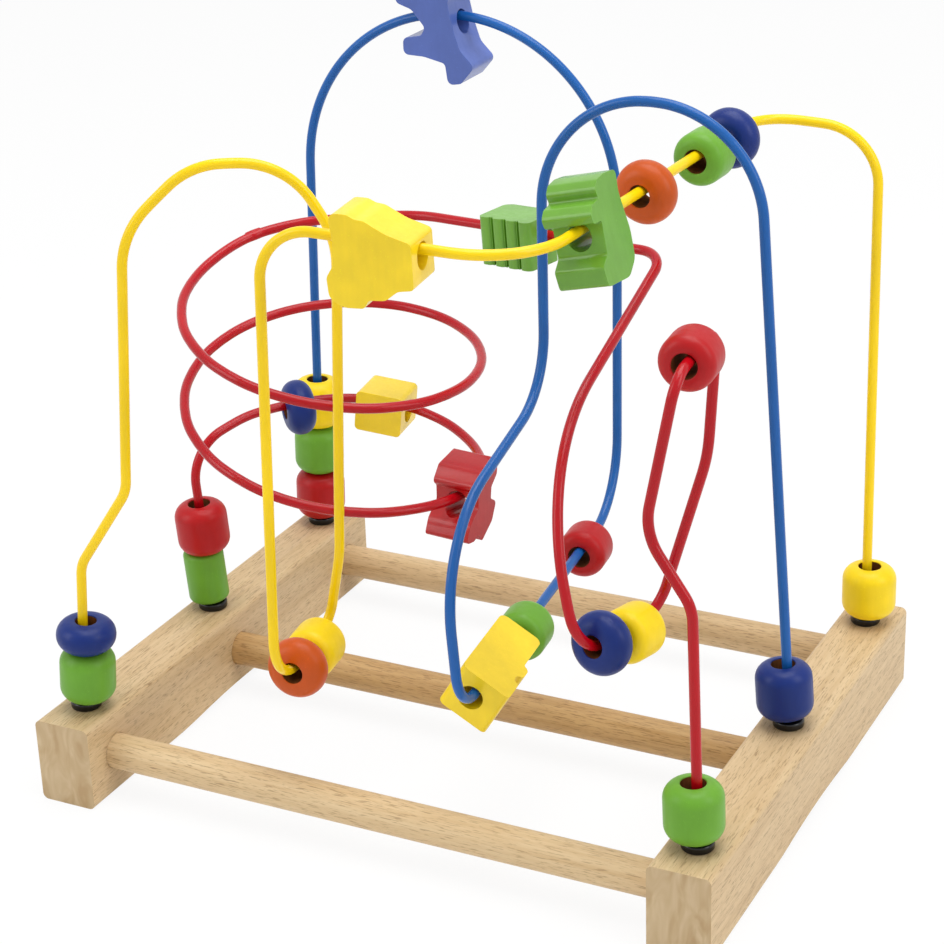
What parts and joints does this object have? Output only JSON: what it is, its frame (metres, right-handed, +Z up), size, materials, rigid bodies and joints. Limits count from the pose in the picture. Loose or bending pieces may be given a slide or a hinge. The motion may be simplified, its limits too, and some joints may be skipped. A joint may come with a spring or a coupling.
{
  "type": "wire bead maze",
  "caption": "Wooden base of two rails and cross dowels carrying bent coated wires, with loose painted beads that slide along their loops, coil and arches.",
  "frame": {"origin": "middle of the base on the table, under the centre of the box around the object", "axes": "+X to the right as seen from the front, along the cross dowels; +Y to the back, along the rails; +Z up from the table"},
  "size_m": [0.29, 0.23, 0.3051],
  "materials": {
    "bare_wood": "sanded pale wood under clear satin lacquer, fine brown pores",
    "washer_black": "glossy black plastic",
    "wire_yellow": "smooth glossy coating on steel wire",
    "wire_red": "smooth glossy coating on steel wire",
    "wire_blue": "smooth glossy coating on steel wire",
    "bead_yellow": "wood under satin paint",
    "bead_red": "wood under satin paint",
    "bead_green": "wood under satin paint",
    "bead_blue": "wood under satin paint",
    "bead_sky_blue": "wood under satin paint",
    "bead_orange": "wood under satin paint"
  },
  "bodies": {
    "frame": {"rail_left": "bare_wood", "rail_right": "bare_wood", "dowel_front": "bare_wood", "dowel_middle": "bare_wood", "dowel_back": "bare_wood", "wire_yellow": "wire_yellow", "wire_red": "wire_red", "wire_blue": "wire_blue", "washer_left_front": "washer_black", "washer_left_middle": "washer_black", "washer_left_back": "washer_black", "washer_right_front": "washer_black", "washer_right_middle": "washer_black", "washer_right_back": "washer_black"},
    "y1_barrel_green": {"bead_y1_barrel_green": "bead_green"},
    "y2_disc_blue": {"bead_y2_disc_blue": "bead_blue"},
    "y3_drum_yellow": {"bead_y3_drum_yellow": "bead_yellow"},
    "y4_disc_orange": {"bead_y4_disc_orange": "bead_orange"},
    "y5_lobed_yellow": {"bead_y5_lobed_yellow": "bead_yellow"},
    "y6_scalloped_green": {"bead_y6_scalloped_green": "bead_green"},
    "y7_disc_orange": {"bead_y7_disc_orange": "bead_orange"},
    "y8_drum_green": {"bead_y8_drum_green": "bead_green"},
    "y9_disc_blue": {"bead_y9_disc_blue": "bead_blue"},
    "y10_barrel_yellow": {"bead_y10_barrel_yellow": "bead_yellow"},
    "r1_slim_green": {"bead_r1_slim_green": "bead_green"},
    "r2_barrel_red": {"bead_r2_barrel_red": "bead_red"},
    "r3_disc_blue": {"bead_r3_disc_blue": "bead_blue"},
    "r4_block_yellow": {"bead_r4_block_yellow": "bead_yellow"},
    "r5_waisted_red": {"bead_r5_waisted_red": "bead_red"},
    "r6_ridged_green": {"bead_r6_ridged_green": "bead_green"},
    "r7_disc_blue": {"bead_r7_disc_blue": "bead_blue"},
    "r8_drum_yellow": {"bead_r8_drum_yellow": "bead_yellow"},
    "r9_drum_red": {"bead_r9_drum_red": "bead_red"},
    "r10_barrel_green": {"bead_r10_barrel_green": "bead_green"},
    "b1_barrel_red": {"bead_b1_barrel_red": "bead_red"},
    "b2_barrel_green": {"bead_b2_barrel_green": "bead_green"},
    "b3_barrel_yellow": {"bead_b3_barrel_yellow": "bead_yellow"},
    "b4_limbed_blue": {"bead_b4_limbed_blue": "bead_sky_blue"},
    "b5_drum_red": {"bead_b5_drum_red": "bead_red"},
    "b6_drum_green": {"bead_b6_drum_green": "bead_green"},
    "b7_footed_yellow": {"bead_b7_footed_yellow": "bead_yellow"},
    "b8_barrel_blue": {"bead_b8_barrel_blue": "bead_blue"}
  },
  "joints": [
    {"name": "y1_slide", "type": "slide", "parent": "frame", "child": "y1_barrel_green", "axis": [0.083, 0, 0.9965], "range_m": [0, 0.01]},
    {"name": "y2_slide", "type": "slide", "parent": "y1_barrel_green", "child": "y2_disc_blue", "axis": [0.083, 0, 0.9965], "range_m": [0, 0.012]},
    {"name": "y3_slide", "type": "slide", "parent": "frame", "child": "y3_drum_yellow", "axis": [0.1135, -0.9928, -0.0378], "range_m": [0, 0.001]},
    {"name": "y4_slide_round", "type": "hinge", "parent": "frame", "child": "y4_disc_orange", "pos_m": [-0.03607, -0.08813, 0.09076], "axis": [-0.9928, -0.1177, -0.0233], "range_deg": [0, 70]},
    {"name": "y5_slide", "type": "slide", "parent": "frame", "child": "y5_lobed_yellow", "axis": [0.9925, 0.1063, -0.0608], "range_m": [-0.01, 0.005]},
    {"name": "y6_slide", "type": "slide", "parent": "frame", "child": "y6_scalloped_green", "axis": [0.0683, 0.9975, 0.0184], "range_m": [-0.002, 0.01]},
    {"name": "y7_slide", "type": "slide", "parent": "frame", "child": "y7_disc_orange", "axis": [0.0683, 0.9975, 0.0184], "range_m": [-0.012, 0.014]},
    {"name": "y8_slide", "type": "slide", "parent": "frame", "child": "y8_drum_green", "axis": [0.0683, 0.9975, 0.0184], "range_m": [-0.015, 0.002]},
    {"name": "y9_slide", "type": "slide", "parent": "frame", "child": "y9_disc_blue", "axis": [0.0683, 0.9975, 0.0184], "range_m": [0, 0.005]},
    {"name": "y10_slide", "type": "slide", "parent": "frame", "child": "y10_barrel_yellow", "axis": [-0.0074, 0, 1], "range_m": [0, 0.16]},
    {"name": "r1_slide", "type": "slide", "parent": "frame", "child": "r1_slim_green", "axis": [-0.0348, -0.0605, 0.9976], "range_m": [0, 0.005]},
    {"name": "r2_slide", "type": "slide", "parent": "r1_slim_green", "child": "r2_barrel_red", "axis": [-0.0348, -0.0605, 0.9976], "range_m": [0, 0.006]},
    {"name": "r3_slide_round", "type": "hinge", "parent": "frame", "child": "r3_disc_blue", "pos_m": [-0.06605, -0.00002, 0.12151], "axis": [0.0425, -0.0047, -0.9991], "range_deg": [-14, 8]},
    {"name": "r4_slide_round", "type": "hinge", "parent": "frame", "child": "r4_block_yellow", "pos_m": [-0.06806, 0.00387, 0.10314], "axis": [-0.1296, 0.2625, -0.9562], "range_deg": [-8, 8]},
    {"name": "r5_slide_round", "type": "hinge", "parent": "frame", "child": "r5_waisted_red", "pos_m": [-0.0601, -0.00072, 0.1181], "axis": [-0.0841, -0.0756, -0.9936], "range_deg": [-26, 28]},
    {"name": "r6_slide", "type": "slide", "parent": "frame", "child": "r6_ridged_green", "axis": [0.9707, -0.2339, 0.0546], "range_m": [-0.02, 0.02]},
    {"name": "r7_slide_round", "type": "hinge", "parent": "frame", "child": "r7_disc_blue", "pos_m": [0.08732, -0.08527, 0.11874], "axis": [0.9146, -0.1341, 0.3814], "range_deg": [-80, 4]},
    {"name": "r8_slide", "type": "slide", "parent": "frame", "child": "r8_drum_yellow", "axis": [0.1859, 0.9782, -0.0929], "range_m": [-0.0002, 0.0006]},
    {"name": "r9_slide", "type": "slide", "parent": "frame", "child": "r9_drum_red", "axis": [0.083, -0.9965, -0.0104], "range_m": [-0.009, 0.007]},
    {"name": "r10_slide", "type": "slide", "parent": "frame", "child": "r10_barrel_green", "axis": [-0.0292, 0, 0.9996], "range_m": [0, 0.05]},
    {"name": "b1_slide", "type": "slide", "parent": "frame", "child": "b1_barrel_red", "axis": [0.0318, 0, 0.9995], "range_m": [0, 0.03]},
    {"name": "b2_slide", "type": "slide", "parent": "b1_barrel_red", "child": "b2_barrel_green", "axis": [0.0318, 0, 0.9995], "range_m": [0, 0.03]},
    {"name": "b3_slide", "type": "slide", "parent": "b2_barrel_green", "child": "b3_barrel_yellow", "axis": [0.0318, 0, 0.9995], "range_m": [0, 0.04]},
    {"name": "b4_slide_round", "type": "hinge", "parent": "frame", "child": "b4_limbed_blue", "pos_m": [-0.05374, 0.09604, 0.2083], "axis": [0.0033, 1, -0.0063], "range_deg": [-30, 60]},
    {"name": "b5_slide", "type": "slide", "parent": "frame", "child": "b5_drum_red", "axis": [0.0966, -0.9952, -0.0183], "range_m": [-0.004, 0.02]},
    {"name": "b7_slide", "type": "slide", "parent": "frame", "child": "b7_footed_yellow", "axis": [0.0966, -0.9952, -0.0183], "range_m": [-0.015, 0.0015]},
    {"name": "b6_slide", "type": "slide", "parent": "b7_footed_yellow", "child": "b6_drum_green", "axis": [0.0966, -0.9952, -0.0183], "range_m": [-0.012, 0]},
    {"name": "b8_slide", "type": "slide", "parent": "frame", "child": "b8_barrel_blue", "axis": [-0.0701, 0, 0.9975], "range_m": [0, 0.16]}
  ]
}
